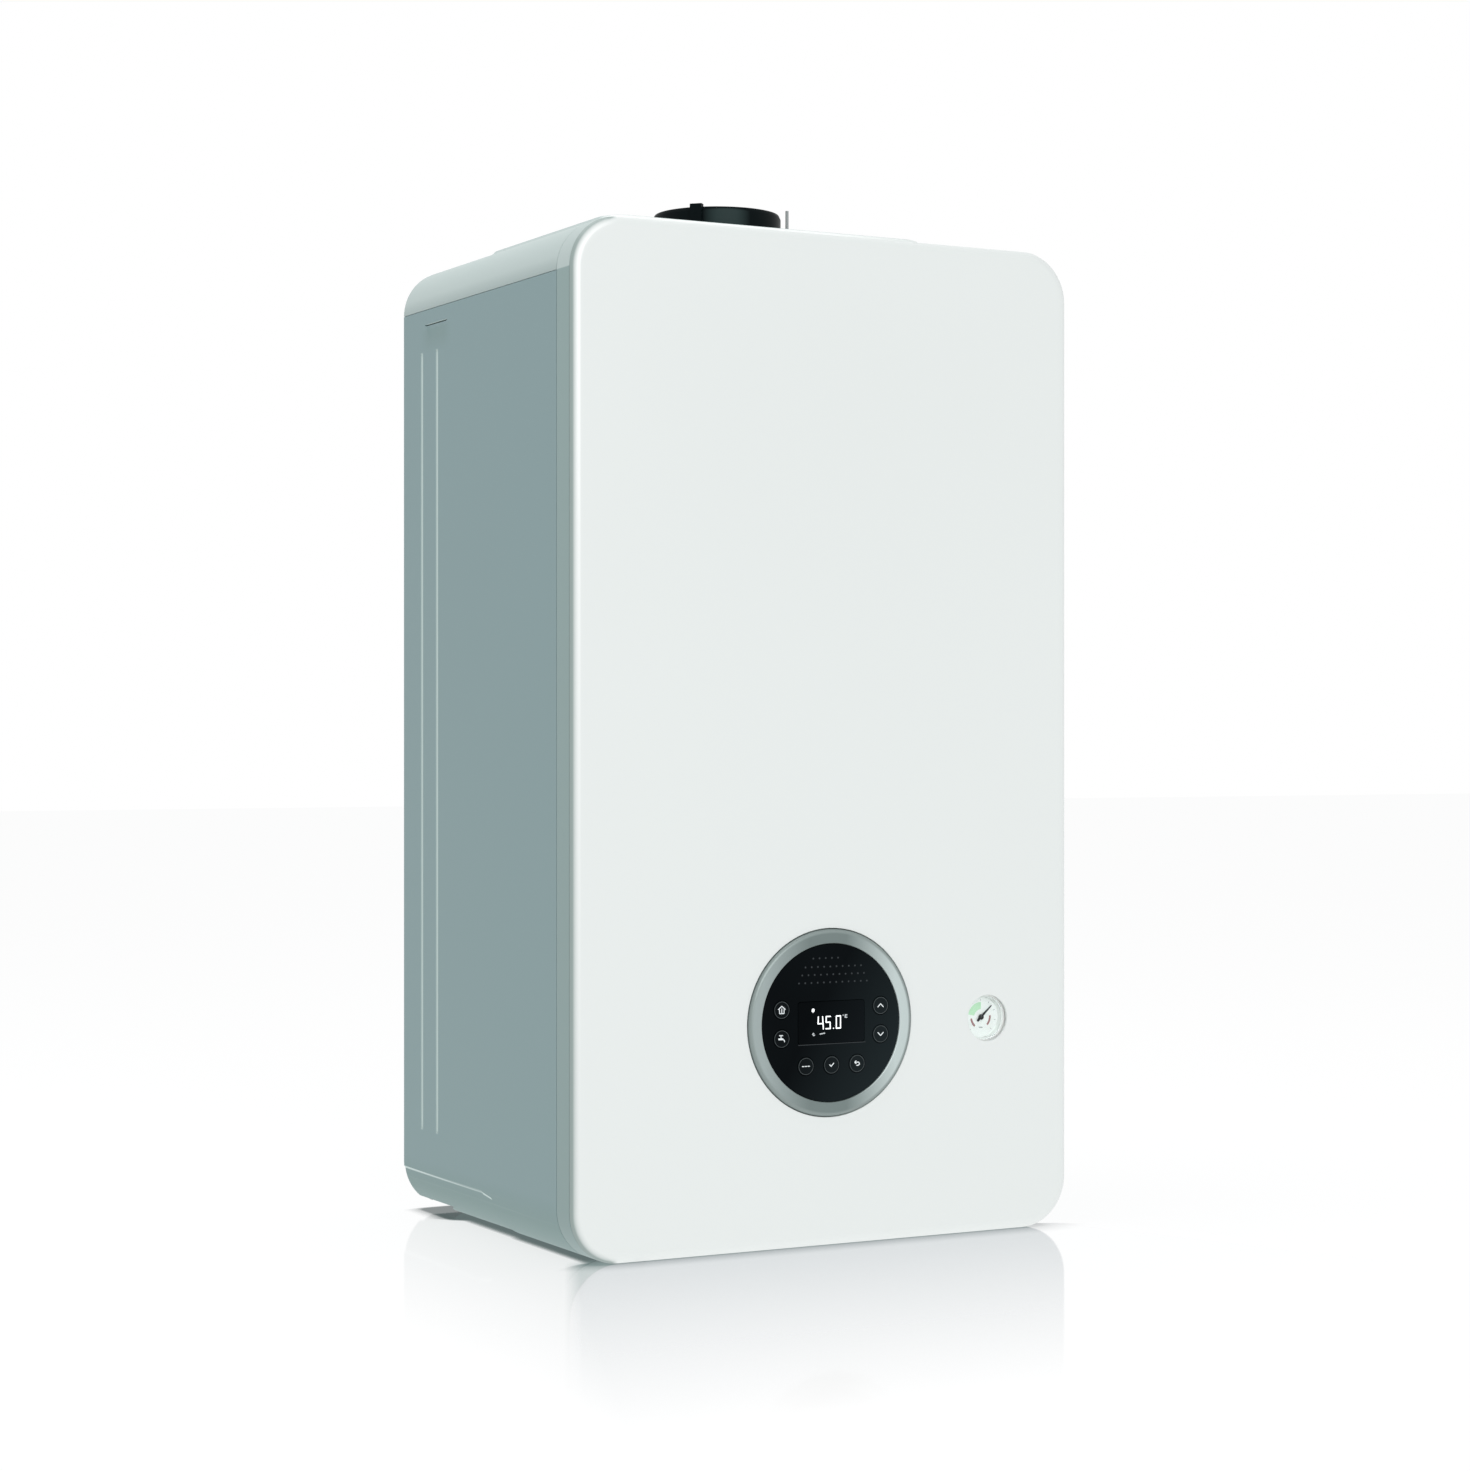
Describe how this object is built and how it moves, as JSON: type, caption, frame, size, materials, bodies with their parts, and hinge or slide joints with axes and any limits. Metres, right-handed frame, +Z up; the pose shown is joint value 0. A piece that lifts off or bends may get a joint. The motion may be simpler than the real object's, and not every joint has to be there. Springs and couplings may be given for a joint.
{
  "type": "condensing boiler",
  "caption": "Wall-hung condensing combination boiler with a lift-off front cover, fold-down control unit, pressure gauge, top flue adapter and pipe connections underneath.",
  "frame": {"origin": "centre of the boiler's footprint, on the surface that its bottom edge stands on", "axes": "+Z up, -Y out of the front cover, +Y into the wall, +X to the right seen from the front"},
  "size_m": [0.4, 0.3, 0.756],
  "materials": {
    "white_panel": "smooth semi-gloss white enamel",
    "grey_panel": "satin blue-grey powder coat",
    "grey_flange": "satin grey",
    "light_grey_cover": "satin light grey",
    "steel": "galvanised sheet",
    "cast_aluminium": "as cast",
    "stainless": "brushed",
    "brass": "machined",
    "copper": "drawn copper tube",
    "black_plastic": "moulded, fine grain",
    "gloss_black": "high gloss",
    "satin_ring": "satin silver-grey",
    "display_black": "smoked window",
    "key_black": "satin gloss",
    "grey_plastic": "moulded",
    "circuit_board": "solder mask",
    "gauge_white": "white dial",
    "needle_black": "matt",
    "clear_lens": "clear",
    "rubber": "moulded seal",
    "red_plastic": "moulded",
    "blue_plastic": "moulded",
    "red_vessel": "gloss paint",
    "ceramic": "glazed"
  },
  "bodies": {
    "chassis": {"side_panel_left": "grey_panel", "side_panel_right": "grey_panel", "top_cover": "light_grey_cover", "back_panel": "steel", "base_plate": "steel", "bottom_rail": "steel", "cover_catch_left": "steel", "cover_catch_right": "steel", "gauge_body": "gauge_white", "gauge_lens": "clear_lens", "gauge_bracket": "steel", "flue_adapter": "black_plastic", "flue_clip": "steel", "flue_seal": "rubber", "flue_duct": "black_plastic", "heat_exchanger": "cast_aluminium", "burner_door": "cast_aluminium", "burner": "stainless", "igniter_electrode": "ceramic", "ionisation_electrode": "ceramic", "fan_housing": "cast_aluminium", "fan_motor": "black_plastic", "venturi": "black_plastic", "mixer_elbow": "cast_aluminium", "gas_valve": "cast_aluminium", "gas_pipe": "brass", "expansion_vessel": "red_vessel", "flow_block": "brass", "diverter_motor": "black_plastic", "plate_heat_exchanger": "stainless", "return_block": "brass", "pump_housing": "black_plastic", "pump_motor": "cast_aluminium", "air_vent": "brass", "safety_valve": "brass", "flow_pipe": "copper", "return_pipe": "copper", "condensate_trap": "grey_plastic", "vessel_pipe": "copper"},
    "front_cover": {"front_panel": "white_panel", "front_frame": "grey_flange"},
    "control_unit": {"control_box": "grey_plastic", "control_lid": "grey_plastic", "circuit_board": "circuit_board", "control_bezel": "satin_ring", "control_fascia": "gloss_black", "display_window": "display_black"},
    "key_heating": {"key_heating": "key_black"},
    "key_hot_water": {"key_hot_water": "key_black"},
    "key_up": {"key_up": "key_black"},
    "key_down": {"key_down": "key_black"},
    "key_menu": {"key_menu": "key_black"},
    "key_ok": {"key_ok": "key_black"},
    "key_back": {"key_back": "key_black"},
    "gauge_needle": {"gauge_needle": "needle_black"},
    "fan_wheel": {"fan_wheel": "black_plastic"},
    "pump_wheel": {"pump_wheel": "grey_plastic"},
    "diverter_spindle": {"diverter_spindle": "stainless"},
    "safety_knob": {"safety_knob": "red_plastic"},
    "filling_lever": {"filling_lever": "blue_plastic"}
  },
  "joints": [
    {"name": "front_cover_slide", "type": "slide", "parent": "chassis", "child": "front_cover", "axis": [0, -1, 0], "range_m": [0, 0.5]},
    {"name": "control_unit_tilt", "type": "hinge", "parent": "chassis", "child": "control_unit", "pos_m": [0, -0.104, 0.07], "axis": [1, 0, 0], "range_deg": [0, 75]},
    {"name": "key_heating_press", "type": "slide", "parent": "control_unit", "child": "key_heating", "axis": [0, 1, 0], "range_m": [0, 0.0008], "stiffness_N_per_m": 600},
    {"name": "key_hot_water_press", "type": "slide", "parent": "control_unit", "child": "key_hot_water", "axis": [0, 1, 0], "range_m": [0, 0.0008], "stiffness_N_per_m": 600},
    {"name": "key_up_press", "type": "slide", "parent": "control_unit", "child": "key_up", "axis": [0, 1, 0], "range_m": [0, 0.0008], "stiffness_N_per_m": 600},
    {"name": "key_down_press", "type": "slide", "parent": "control_unit", "child": "key_down", "axis": [0, 1, 0], "range_m": [0, 0.0008], "stiffness_N_per_m": 600},
    {"name": "key_menu_press", "type": "slide", "parent": "control_unit", "child": "key_menu", "axis": [0, 1, 0], "range_m": [0, 0.0008], "stiffness_N_per_m": 600},
    {"name": "key_ok_press", "type": "slide", "parent": "control_unit", "child": "key_ok", "axis": [0, 1, 0], "range_m": [0, 0.0008], "stiffness_N_per_m": 600},
    {"name": "key_back_press", "type": "slide", "parent": "control_unit", "child": "key_back", "axis": [0, 1, 0], "range_m": [0, 0.0008], "stiffness_N_per_m": 600},
    {"name": "gauge_needle_turn", "type": "hinge", "parent": "chassis", "child": "gauge_needle", "pos_m": [0.131, -0.1384, 0.154], "axis": [0, 1, 0], "range_deg": [-183, 87]},
    {"name": "fan_spin", "type": "hinge", "parent": "chassis", "child": "fan_wheel", "pos_m": [0.099, -0.108, 0.612], "axis": [0, 1, 0], "continuous": true},
    {"name": "pump_spin", "type": "hinge", "parent": "chassis", "child": "pump_wheel", "pos_m": [0.13, 0.01, 0.124], "axis": [0, 1, 0], "continuous": true},
    {"name": "diverter_stroke", "type": "slide", "parent": "chassis", "child": "diverter_spindle", "axis": [0, 0, -1], "range_m": [0, 0.006]},
    {"name": "safety_knob_turn", "type": "hinge", "parent": "chassis", "child": "safety_knob", "pos_m": [0.13, -0.0856, 0.052], "axis": [0, 1, 0], "range_deg": [0, 90]},
    {"name": "filling_lever_turn", "type": "hinge", "parent": "chassis", "child": "filling_lever", "pos_m": [-0.13, -0.067, 0.052], "axis": [0, -1, 0], "range_deg": [0, 90]}
  ],
  "couplings": [
    {"joint": "control_unit_tilt", "follows": "front_cover_slide", "rad_per_m": 2.6}
  ]
}
